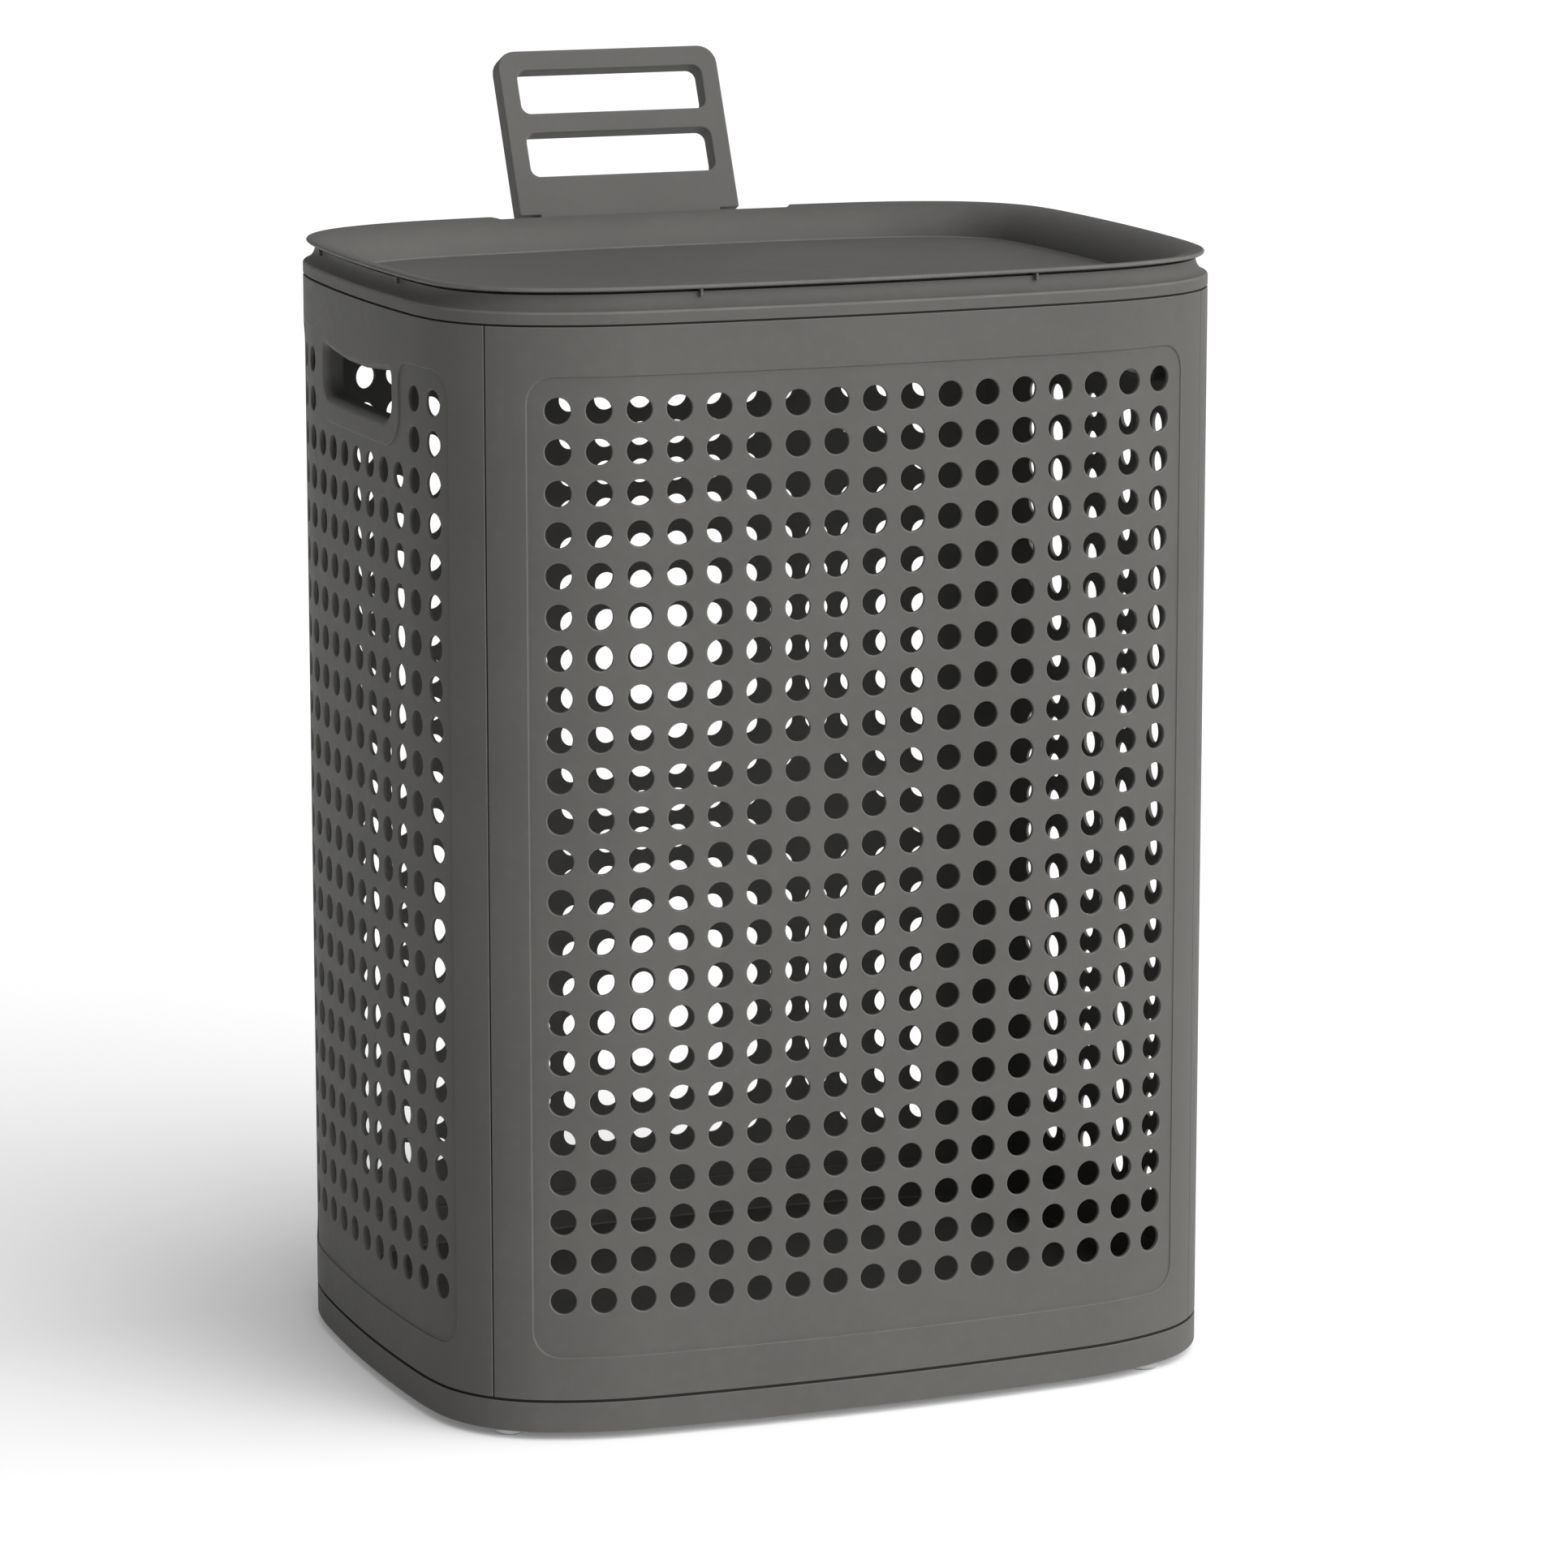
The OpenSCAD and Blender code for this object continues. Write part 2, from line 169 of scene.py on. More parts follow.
def trace(arcs, grow=0.0, closed=True, arc_step=15, line_step=STEP):
    """Points, outward normals and edge marks along arcs and the lines between them.

    An arc that turns anticlockwise is convex. The number of points doesn't depend on grow."""
    points, normals, marks = [], [], []
    ends = []
    for cx, cy, radius, start, end in arcs:
        steps = max(3, math.ceil(abs(end - start) / arc_step))
        side = 1 if end > start else -1
        angles = np.radians(np.linspace(start, end, steps + 1))
        unit = np.column_stack([np.cos(angles), np.sin(angles)])
        ends.append((np.array([cx, cy]) + radius * unit[[0, -1]],
                     np.array([cx, cy]) + (radius + side * grow) * unit, side * unit,
                     np.sin(np.linspace(0, np.pi, steps + 1)) * (radius < SMALL_RADIUS)))
    for i, (bare, arc_points, arc_normals, arc_marks) in enumerate(ends):
        points.append(arc_points)
        normals.append(arc_normals)
        marks.append(arc_marks)
        if i == len(ends) - 1 and not closed:
            break
        after = ends[(i + 1) % len(ends)]
        gap = np.linalg.norm(after[0][0] - bare[1])
        inner = max(0, math.ceil(gap / line_step) - 1)
        share = (np.arange(1, inner + 1) / (inner + 1))[:, None]
        points.append(arc_points[-1] + share * (after[1][0] - arc_points[-1]))
        normals.append(np.repeat(arc_normals[-1:], inner, axis=0))
        marks.append(np.zeros(inner))
    return np.concatenate(points), np.concatenate(normals), np.concatenate(marks)


def discs(centres, radius, count=24):
    """Shape function for many round holes, with arrays of shape (holes, count, 2)."""
    angles = np.radians(45) + np.linspace(0, 2 * np.pi, count, endpoint=False)
    unit = np.column_stack([np.cos(angles), np.sin(angles)])

    def shape(grow):
        points = centres[:, None] + (radius + grow) * unit
        return points, np.broadcast_to(unit, points.shape)

    return shape


def outline_shape(corners):
    """Shape function for a rounded polygon."""
    arcs = corner_arcs(corners)
    return lambda grow: trace(arcs, grow)[:2]


def bend(grow, depth, radius, start, end, steps=3):
    """Profile rows (grow, depth, lean, mark) round a bend; a negative radius is a hollow one.

    Lean is the angle of the surface from facing out: 90 faces the opening, 180 faces in."""
    leans = np.radians(np.linspace(start, end, steps + 1))
    marks = np.sin(np.linspace(0, np.pi, steps + 1)) * (0 < radius < SMALL_RADIUS)
    return np.column_stack([grow - radius * np.sin(leans), depth - radius * np.cos(leans),
                            leans, marks])


def edge_profile(depth, back, front_r, back_r, steps=3):
    """Profile through a sheet from its front at depth to its back, both edges rounded."""
    return np.concatenate([bend(front_r, depth + front_r, front_r, 0, 90, steps),
                           bend(back_r, back - back_r, back_r, 90, 180, 2)])


# ---------------------------------------------------------------- patches and meshes

def inside(points, ring):
    """True where points lie inside a closed ring, by the even-odd rule."""
    found = []
    a, b = ring, np.roll(ring, -1, axis=0)
    rise = np.where(a[:, 1] == b[:, 1], 1, b[:, 1] - a[:, 1])
    for part in np.array_split(points, len(points) // 4000 + 1):
        x, y = part[:, :1], part[:, 1:]
        spans = (a[:, 1] > y) != (b[:, 1] > y)
        hits = spans & (x < a[:, 0] + (y - a[:, 1]) * (b[:, 0] - a[:, 0]) / rise)
        found.append(hits.sum(axis=1) % 2 == 1)
    return np.concatenate(found)


class Patch:
    """Points (u, v, depth) with normals and edge marks, and the faces between them."""

    def __init__(self, lay):
        self.lay = lay
        self.points, self.normals, self.marks, self.faces = [], [], [], []
        self.count = 0

    def add(self, points, normals, marks):
        """Adds points of any array shape and returns their indices in that shape."""
        points = np.asarray(points, float)
        shape = points.shape[:-1]
        size = math.prod(shape)
        self.points.append(points.reshape(size, 3))
        self.normals.append(np.broadcast_to(normals, points.shape).reshape(size, 3))
        self.marks.append(np.broadcast_to(marks, shape).reshape(size))
        self.count += size
        return np.arange(self.count - size, self.count).reshape(shape)

    def bridge(self, outer, inner):
        """Quads between two closed loops, or two rows of closed loops."""
        quads = np.stack([outer, np.roll(outer, -1, -1), np.roll(inner, -1, -1), inner], -1)
        self.faces += quads.reshape(-1, 4).tolist()

    def run(self, shape, profile, facing=-1):
        """Carries a shape along a profile. facing is -1 for an opening and 1 for a border.

        Returns the first and the last loop."""
        loops = []
        for grow, depth, lean, mark in profile:
            plan, side = shape(-facing * grow)
            points = np.concatenate([plan, np.full(plan.shape[:-1] + (1,), depth)], -1)
            normals = np.concatenate([facing * math.sin(lean) * side,
                                      np.full(plan.shape[:-1] + (1,), math.cos(lean))], -1)
            loops.append(self.add(points, normals, mark))
        for a, b in zip(loops, loops[1:]):
            self.bridge(*((a, b) if facing < 0 else (b, a)))
        return loops[0], loops[-1]

    def fill(self, rim, openings=(), rounds=None, out=True):
        """Triangles inside a rim and outside openings and rows of round holes."""
        points = np.concatenate(self.points)
        depth = points[rim[0], 2]
        loops = [rim, *openings, *(rounds if rounds is not None else ())]
        used = np.concatenate(loops)
        plan = points[used, :2]
        tree = KDTree(len(plan))
        for i, p in enumerate(plan):
            tree.insert((*p, 0), i)
        tree.balance()
        low, high = plan.min(0), plan.max(0)
        spare = np.stack(np.meshgrid(*(np.arange(math.ceil(a / STEP) * STEP, b, STEP)
                                       for a, b in zip(low, high))), -1).reshape(-1, 2)
        spare = spare[inside(spare, points[rim, :2])]
        for ring in openings:
            spare = spare[~inside(spare, points[ring, :2])]
        if rounds is not None:
            rows = points[rounds, :2]
            middles = rows.mean(axis=1)
            radius = np.linalg.norm(rows[0] - middles[0], axis=1).max()
            hubs = KDTree(len(middles))
            for i, p in enumerate(middles):
                hubs.insert((*p, 0), i)
            hubs.balance()
            spare = spare[[hubs.find((*p, 0))[2] > radius for p in spare]]
        spare = spare[[tree.find((*p, 0))[2] > STEP / 3 for p in spare]]
        facing = 1 if out else -1
        extra = self.add(np.column_stack([spare, np.full(len(spare), depth)]), (0, 0, facing), 0)
        names = np.concatenate([used, extra])
        edges, first = [], 0
        owner = np.full(len(names), -1)
        for k, ring in enumerate(loops):
            turn = first + np.arange(len(ring))
            edges += np.column_stack([turn, np.roll(turn, -1)]).tolist()
            owner[turn] = k
            first += len(ring)
        flat = [Vector(p) for p in np.concatenate([plan, spare])]
        made, _, faces, origin, _, _ = delaunay_2d_cdt(flat, edges, [], 0, 1e-6)
        back = np.array([o[0] for o in origin])
        faces = back[np.array(faces)]
        places = np.concatenate([plan, spare])[faces].mean(axis=1)
        keep = inside(places, points[rim, :2])
        for ring in openings:
            keep &= ~inside(places, points[ring, :2])
        group = owner[faces]
        same = (group[:, 0] == group[:, 1]) & (group[:, 0] == group[:, 2])
        keep &= ~(same & (group[:, 0] > len(openings)))
        faces = names[faces[keep]]
        self.faces += (faces if out else faces[:, ::-1]).tolist()

    def cap(self, loop):
        """One flat face on a loop that runs anticlockwise seen from the side that is seen."""
        self.faces.append(list(loop))

    def done(self):
        points, normals = self.lay(np.concatenate(self.points), np.concatenate(self.normals))
        return points, normals, np.concatenate(self.marks), self.faces


def sweep(places, normals, marks, caps=False, closed=False):
    """Patch data for a profile swept round a loop: arrays of shape (stops, points, 3)."""
    stops, count = places.shape[:2]
    index = np.arange(stops * count).reshape(stops, count)
    after = np.roll(index, -1, axis=0)
    if closed:
        ahead, after_ahead = np.roll(index, -1, axis=1), np.roll(after, -1, axis=1)
        quads = np.stack([index, after, after_ahead, ahead], -1)
    else:
        quads = np.stack([index[:, :-1], after[:, :-1], after[:, 1:], index[:, 1:]], -1)
    faces = quads.reshape(-1, 4).tolist()
    if caps:
        faces += [index[::-1, 0].tolist(), index[:, -1].tolist()]
    return (places.reshape(-1, 3), normals.reshape(-1, 3),
            np.broadcast_to(marks, (stops, count)).reshape(-1), faces)


def loop_stops(fine=2.2, coarse=6.0):
    """Lengths round the outline, closer together where it turns sharply."""
    tight = math.radians(FRONT_TURN) * wall.radii[0]
    stops = []
    u = 0.0
    while u < wall.quarter:
        stops.append(u)
        u += fine if tight < u < wall.starts[-2] else coarse
    stops = np.array(stops[1:])
    return np.concatenate([[0], stops, [wall.quarter], 2 * wall.quarter - stops[::-1],
                           [2 * wall.quarter], 2 * wall.quarter + stops, [3 * wall.quarter],
                           4 * wall.quarter - stops[::-1]])


GROOVE_FROM, GROOVE_TO = 1.0, 3.25  # insets between which the inside of a groove is painted dark, as shade
GROOVE_MARGIN = 0.1                 # how far the painted shade reaches past a groove's edges


def round_outline(profile, grooves=(), stops=None, **options):
    """Sweeps a profile of points (out, z) round the plan outline.

    Grooves are heights (low, high) between which what lies behind the outer face is painted dark,
    as shade."""
    points, normals, marks = profile
    for low, high in grooves:
        deep = (points[:, 0] < -GROOVE_FROM) & (points[:, 0] > -GROOVE_TO)
        marks = np.where(deep & (low <= points[:, 1]) & (points[:, 1] <= high), -1, marks)
    stops = loop_stops() if stops is None else stops
    grid = (len(stops), len(points))
    place, out = wall.at(np.broadcast_to(stops[:, None], grid), -points[:, 0] + np.zeros(grid))
    height = np.broadcast_to(points[:, 1, None], grid + (1,))
    lean = np.concatenate([normals[:, :1] * out, np.broadcast_to(normals[:, 1:], grid + (1,))], -1)
    return sweep(np.concatenate([place, height], -1), lean, marks, **options)


def lathe(profile, centre, axis="z", count=48):
    """Turns a profile of points (radius, height) about an axis through centre, with end caps."""
    points, normals, marks = profile
    angles = np.linspace(0, 2 * np.pi, count, endpoint=False)
    ring = np.stack([np.cos(angles), np.sin(angles)], -1)[:, None]

    def turned(rows):
        flat = ring * rows[:, :1]
        both = np.concatenate([flat, np.broadcast_to(rows[:, 1:], flat.shape[:2] + (1,))], -1)
        return both if axis == "z" else both[..., [2, 0, 1]]

    return sweep(turned(points) + np.array(centre), turned(normals), marks, caps=True)


def make(name, patches, material, body, nodes):
    """One mesh object from patches; it rides on a body and stands for CAD nodes."""
    points, normals, marks, faces = [], [], [], []
    first = 0
    for p, n, m, f in patches:
        points.append(p)
        normals.append(n)
        marks.append(m)
        faces += [[i + first for i in face] for face in f]
        first += len(p)
    mesh = bpy.data.meshes.new(name)
    mesh.from_pydata((np.concatenate(points) * MM).tolist(), [], faces)
    mesh.attributes.new("edge", "FLOAT", "POINT").data.foreach_set(
        "value", np.concatenate(marks).astype(np.float32))
    mesh.materials.append(material)
    mesh.shade_smooth()
    mesh.normals_split_custom_set_from_vertices(np.concatenate(normals).tolist())
    piece = bpy.data.objects.new(name, mesh)
    bpy.context.scene.collection.objects.link(piece)
    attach(piece, body)
    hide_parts(*nodes)
    return piece


# ---------------------------------------------------------------- materials

class Nodes:
    """A short way to write a node material. Patterns read object coordinates, in metres."""

    def __init__(self, name):
        self.material = bpy.data.materials.new(name)
        self.material.use_nodes = True
        self.tree = self.material.node_tree
        self.shader = self.tree.nodes["Principled BSDF"]
        self.place = self.new("ShaderNodeTexCoord").outputs["Object"]

    def new(self, kind, links=(), **values):
        node = self.tree.nodes.new(kind)
        for key, value in values.items():
            if key in node.inputs.keys():
                node.inputs[key].default_value = value
            else:
                setattr(node, key, value)
        for key, socket in dict(links).items():
            self.tree.links.new(socket, node.inputs[key])
        return node

    def noise(self, scale, detail=2.0, roughness=0.5):
        node = self.new("ShaderNodeTexNoise", {"Vector": self.place}, Scale=scale, Detail=detail,
                        Roughness=roughness)
        return node.outputs["Fac"]

    def spread(self, value, low, high, from_low=0.3, from_high=0.7):
        node = self.new("ShaderNodeMapRange", {"Value": value})
        for key, number in (("From Min", from_low), ("From Max", from_high),
                            ("To Min", low), ("To Max", high)):
            node.inputs[key].default_value = number
        return node.outputs["Result"]

    def maths(self, operation, a, b):
        node = self.new("ShaderNodeMath", operation=operation)
        for socket, value in zip(node.inputs, (a, b)):
            if isinstance(value, float):
                socket.default_value = value
            else:
                self.tree.links.new(value, socket)
        return node.outputs[0]

    def mix(self, factor, a, b):
        node = self.new("ShaderNodeMix", data_type="RGBA")
        for key, value in ((6, a), (7, b)):
            if isinstance(value, tuple):
                node.inputs[key].default_value = (*value, 1)
            else:
                self.tree.links.new(value, node.inputs[key])
        self.tree.links.new(factor, node.inputs[0])
        return node.outputs[2]

    def bump(self, height, strength, distance, under=None):
        links = {"Height": height}
        if under is not None:
            links["Normal"] = under
        return self.new("ShaderNodeBump", links, Strength=strength, Distance=distance).outputs[0]

    def set(self, **values):
        for key, value in values.items():
            socket = self.shader.inputs[key.replace("_", " ")]
            if isinstance(value, bpy.types.NodeSocket):
                self.tree.links.new(value, socket)
            else:
                socket.default_value = value


PLASTIC = (0.077, 0.075, 0.071)
PLASTIC_LIGHT = (0.122, 0.119, 0.113)
# painted shade: the near-black put inside the grooves where shade falls
GROOVE_SHADE = (0.012, 0.012, 0.011)


def plastic_material(name, bevel=False):
    """Matte moulded plastic: fine spark grain, faint flow mottling, paler edges that are partly
    rubbed wear and partly painted highlight, and painted shade in the grooves.
    """
    n = Nodes(name)
    mottle = n.noise(14, 3, 0.55)
    dust = n.noise(160, 3, 0.6)
    grain = n.noise(2600, 2, 0.6)
    base = n.mix(n.spread(mottle, 0.0, 1.0), tuple(0.95 * c for c in PLASTIC),
                 tuple(1.05 * c for c in PLASTIC))
    base = n.mix(n.spread(dust, 0.0, 0.16, 0.45, 0.8), base, PLASTIC_LIGHT)
    edge = n.new("ShaderNodeAttribute", attribute_name="edge").outputs["Fac"]
    # paler small rounded edges: partly rubbed wear, partly a painted highlight where they catch
    # the light
    wear_and_highlight = n.maths("MULTIPLY", n.maths("MAXIMUM", edge, 0.0),
                   n.spread(n.noise(60, 3, 0.6), 0.35, 0.9))
    base = n.mix(wear_and_highlight, base, PLASTIC_LIGHT)
    # painted shade: points marked -1 inside the grooves are darkened almost to black
    base = n.mix(n.maths("MULTIPLY", n.maths("MINIMUM", edge, 0.0), -0.9), base, GROOVE_SHADE)
    rough = n.maths("SUBTRACT", n.spread(dust, 0.50, 0.60), n.maths("MULTIPLY", wear_and_highlight, 0.08))
    under = n.new("ShaderNodeBevel", samples=4, Radius=0.0005).outputs[0] if bevel else None
    n.set(Base_Color=base, Roughness=rough, Normal=n.bump(grain, 0.16, 0.00012, under))
    n.set(IOR=1.49, Specular_IOR_Level=0.14)
    return n.material


def steel_material():
    """Bright zinc-plated steel, with fine turning marks and dull spots."""
    n = Nodes("zinc_steel")
    spots = n.noise(900, 3, 0.6)
    marks = n.new("ShaderNodeTexWave", {"Vector": n.place}, Scale=1800, Distortion=3.0,
                  bands_direction="Z").outputs["Fac"]
    n.set(Base_Color=n.mix(spots, (0.46, 0.46, 0.45), (0.58, 0.58, 0.57)), Metallic=1.0,
          Roughness=n.spread(spots, 0.28, 0.45), Normal=n.bump(marks, 0.15, 0.00004))
    return n.material


def rubber_material():
    """Clear soft rubber, a little milky, with a satin surface."""
    n = Nodes("clear_rubber")
    cloud = n.noise(420, 3, 0.6)
    n.set(Base_Color=n.mix(cloud, (0.70, 0.715, 0.72), (0.84, 0.85, 0.85)),
          Roughness=n.spread(cloud, 0.28, 0.42), Normal=n.bump(n.noise(1500), 0.1, 0.00008))
    n.set(IOR=1.42, Transmission_Weight=0.75)
    return n.material


plastic = plastic_material("moulded_plastic")
plastic_hard = plastic_material("moulded_plastic_small", bevel=True)
steel = steel_material()
rubber = rubber_material()

for node_name, node in frame["nodes"].items():
    metal = node_name in ("rail_pin", "bracket_screws")
    node.data.materials.clear()
    node.data.materials.append(steel if metal else plastic_hard)


# ---------------------------------------------------------------- perforated panels

panel_low, panel_high = box_mm("front_panel")
PITCH = 20.0
HOLE_R = 6.4
PANEL_T = 3.0
RECESS = 0.9
ROWS = 23
SEAM_S = 196.0  # length round the outline from the middle of the front to its seam
SEAM_GAP = 0.7
side_half = wall.quarter - SEAM_S
panel_z = (panel_low[2], panel_high[2])
HOLES_UP = 4.9              # height of the middle row over the middle of the panel
FIELD_INSET = (21.8, 23.9)  # from the panel's lower and upper edges
hole_mid_z = (panel_z[0] + panel_z[1]) / 2 + HOLES_UP
field_z = (panel_z[0] + FIELD_INSET[0], panel_z[1] - FIELD_INSET[1])
front_edge = edge_profile(0, PANEL_T, 0.45, 0.3)
hole_edge = edge_profile(RECESS, PANEL_T, 0.75, 0.3)
STEP_LEAN = 84  # steepest lean of the step into the sunken field
step_r = RECESS / (2 * (1 - math.cos(math.radians(STEP_LEAN))))
step_half = step_r * math.sin(math.radians(STEP_LEAN))
recess_step = np.concatenate([bend(step_half, step_r, step_r, 0, STEP_LEAN, 4),
                              bend(-step_half, RECESS - step_r, -step_r, STEP_LEAN, 0, 4)[1:]])


def hole_centres(cols, short_cols=-1, short_rows=0):
    """Centres of the holes; the columns within short_cols of the middle lack the top rows."""
    return np.array([(i * PITCH, hole_mid_z + (j - ROWS // 2) * PITCH)
                     for i in range(-cols, cols + 1)
                     for j in range(ROWS - (short_rows if abs(i) <= short_cols else 0))])


def panel(middle, half, field, centres, hold=None):
    """One perforated panel of the body, as a closed mesh."""
    patch = Patch(on_wall(middle))
    low, high = panel_z
    half -= SEAM_GAP / 2
    border = outline_shape([(-half, low, 0.6), (half, low, 0.6), (half, high, 0.6),
                            (-half, high, 0.6)])
    front_rim, back_rim = patch.run(border, front_edge, facing=1)
    field_rim, floor_rim = patch.run(outline_shape(field), recess_step)
    front_holes, back_holes = patch.run(discs(centres, HOLE_R), hole_edge)
    openings, back_openings = [field_rim], []
    if hold is not None:
        hold_front, hold_back = patch.run(outline_shape(hold), hold_profile)
        openings.append(hold_front)
        back_openings.append(hold_back)
    patch.fill(front_rim, openings)
    patch.fill(floor_rim, rounds=front_holes)
    patch.fill(back_rim, back_openings, back_holes, out=False)
    return patch.done()


FIELD_CORNER = 13
WIDE_FIELD = 175.0
wide_field = [(-WIDE_FIELD, field_z[0], FIELD_CORNER), (WIDE_FIELD, field_z[0], FIELD_CORNER),
              (WIDE_FIELD, field_z[1], FIELD_CORNER), (-WIDE_FIELD, field_z[1], FIELD_CORNER)]

SIDE_FIELD = 113.6
BOSS_HALF = 63.0
BOSS_LOW = hole_mid_z + 9.64 * PITCH
side_field = [(-SIDE_FIELD, field_z[0], FIELD_CORNER), (SIDE_FIELD, field_z[0], FIELD_CORNER),
              (SIDE_FIELD, field_z[1], FIELD_CORNER), (BOSS_HALF, field_z[1], 10),
              (BOSS_HALF, BOSS_LOW, 18), (-BOSS_HALF, BOSS_LOW, 18),
              (-BOSS_HALF, field_z[1], 10), (-SIDE_FIELD, field_z[1], FIELD_CORNER)]

# the hand hold: its top edge sags in the middle, and a lip runs round it inside
HOLD_HALF = 52.0
HOLD_SAG, HOLD_SAG_R = 5.7, 362
hold_low = hole_mid_z + 10.28 * PITCH
hold_top = hole_mid_z + 11.5 * PITCH
hold = [(-HOLD_HALF, hold_low, 9), (HOLD_HALF, hold_low, 9), (HOLD_HALF, hold_top, 3),
        (0, hold_top - HOLD_SAG, HOLD_SAG_R), (-HOLD_HALF, hold_top, 3)]
HOLD_ROLL = 4.0
LIP_END_R = 1.2
LIP_REACH = 10.6
hold_profile = np.concatenate([
    bend(HOLD_ROLL, HOLD_ROLL, HOLD_ROLL, 0, 90, 7),
    bend(LIP_END_R, LIP_REACH - LIP_END_R, LIP_END_R, 90, 270, 6),
    bend(2 * LIP_END_R + 0.8, PANEL_T + 0.8, -0.8, 270, 180, 2)])

for name, middle in (("front", FRONT), ("back", BACK)):
    make(f"{name}_perforated_panel", [panel(middle, SEAM_S, wide_field, hole_centres(8))],
         plastic, "hamper", [f"{name}_panel"])
for name, middle in (("left", LEFT), ("right", RIGHT)):
    make(f"{name}_perforated_panel",
         [panel(middle, side_half, side_field, hole_centres(5, 3, 2), hold)],
         plastic, "hamper", [f"{name}_panel"])


# ---------------------------------------------------------------- base, rim and lid

GROOVE_DEPTH = 1.5    # of the grooves under and over the panels
foot_nodes = ["foot_front_left", "foot_front_right", "foot_back_left", "foot_back_right"]
BASE_GROOVE = 1.4     # height of the groove between the skirt and the panels
SKIRT_T = 3.0
COLLAR = (3.2, 5.6)   # insets of the upstand inside the panels
BASE_FLOOR = 19.5
BASE_FLOOR_T = 2.5
BASE_FLOOR_EDGE = 40  # inset where the swept part of the floor ends and its flat caps begin
skirt_z = (body_low[2], panel_z[0] - BASE_GROOVE)
collar_top = body_high[2]
base_profile = trace(corner_arcs([
    (-SKIRT_T, BASE_FLOOR - BASE_FLOOR_T, 0.5), (-SKIRT_T, skirt_z[0], 0.5),
    (0, skirt_z[0], 1.1), (0, skirt_z[1], 0.4), (-GROOVE_DEPTH, skirt_z[1], 0.2),
    (-GROOVE_DEPTH, panel_z[0], 0.2), (-COLLAR[0], panel_z[0], 0.2),
    (-COLLAR[0], collar_top, 0.5), (-COLLAR[1], collar_top, 0.5), (-COLLAR[1], BASE_FLOOR, 1.0),
    (-BASE_FLOOR_EDGE, BASE_FLOOR, 1.0),
    (-BASE_FLOOR_EDGE, BASE_FLOOR - BASE_FLOOR_T, 1.0)])[:-2],
    closed=False, arc_step=30)


def foot_middle(node):
    low, high = box_mm(node)
    return (low + high) / 2


def tube_profile(radius, low, high, edge):
    """Profile of a round boss, from its lower end to its upper end."""
    return trace(corner_arcs([(radius, low, edge), (radius, high, edge), (0, high, edge),
                              (0, low, edge)])[:2], closed=False, arc_step=30)


BOSS_R = 9.0
bosses = [lathe(tube_profile(BOSS_R, skirt_z[0], BASE_FLOOR - 1, 0.5),
                (*foot_middle(name)[:2], 0)) for name in foot_nodes]
base_groove = (skirt_z[1] - GROOVE_MARGIN, panel_z[0] + GROOVE_MARGIN)
make("moulded_base", [round_outline(base_profile, [base_groove], caps=True), *bosses],
     plastic, "hamper", ["base_tray"])

rim_low, rim_high = box_mm("rim_frame")
rim_top = rim_high[2]
rim_seam = rim_top - 13.8
RIM_GROOVE = 1.0  # height of the groove between the panels and the rim
NECK = 6.2        # inset of the wall at the back of the cove
rim_profile = trace(corner_arcs([
    (0, rim_seam, 0.35), (0, rim_top - 7.9, 1.6), (-NECK, rim_top - 5.85, 7.4),
    (-NECK, rim_top, 0.25), (-8.6, rim_top, 0.3), (-8.6, rim_top - 7.3, 0.5),
    (-6.3, rim_top - 12.8, 0.5), (-6.3, rim_low[2], 0.5), (-3.3, rim_low[2], 0.5),
    (-3.3, rim_seam - RIM_GROOVE, 0.2), (-GROOVE_DEPTH, rim_seam - RIM_GROOVE, 0.2),
    (-GROOVE_DEPTH, rim_seam, 0.2)]),
    arc_step=12, line_step=12)
rim_groove = (rim_seam - RIM_GROOVE - GROOVE_MARGIN, rim_seam + GROOVE_MARGIN)
make("rim_ring", [round_outline(rim_profile, [rim_groove], closed=True)],
     plastic, "hamper", ["rim_frame"])

_, lid_high = box_mm("lid")
flange_top = lid_high[2]
TRAY_DEPTH = 17.0
LID_T = 2.2
tray_floor = flange_top - TRAY_DEPTH
DISH_R = 22.5
dish = np.array([-3.0, flange_top - DISH_R])
under_r = DISH_R - LID_T
FLOOR_FILLET = 1.2
NOTCH_HALF = 83.0   # half the length over which the rear flange is cut back
NOTCH_TIP = 74.5    # angle round the dish where the flange ends there; elsewhere it is 90
NOTCH_BLEND = 2.5


def lid_profile(tip):
    """Profile of the lid from under its floor, round the lip at angle tip, to its floor."""
    fillet_turn = math.degrees(math.asin((tray_floor + FLOOR_FILLET - dish[1])
                                         / (DISH_R + FLOOR_FILLET)))
    under_turn = math.degrees(math.asin((tray_floor - LID_T + 1 - dish[1]) / (under_r + 1)))

    def out_from_dish(radius, angle):
        a = math.radians(180 - angle)
        return dish + radius * np.array([math.cos(a), math.sin(a)])

    arcs = [(*out_from_dish(under_r + 1, under_turn), 1.0, -90, -under_turn),
            (*dish, under_r, 180 - under_turn, 180 - tip),
            (*out_from_dish((DISH_R + under_r) / 2, tip), LID_T / 2, -tip, 180 - tip),
            (*dish, DISH_R, 180 - tip, 180 - fillet_turn),
            (*out_from_dish(DISH_R + FLOOR_FILLET, fillet_turn), FLOOR_FILLET, -fillet_turn, -90)]
    steps = (3, 12, 8, 16, 6)
    points, normals, marks = [], [], []
    for (cx, cy, radius, start, end), count in zip(arcs, steps):
        p, n, m = trace([(cx, cy, radius, start, end)], closed=False,
                        arc_step=abs(end - start) / count + 1e-6)
        points.append(p)
        normals.append(n)
        marks.append(m)
    return np.concatenate(points), np.concatenate(normals), np.concatenate(marks)


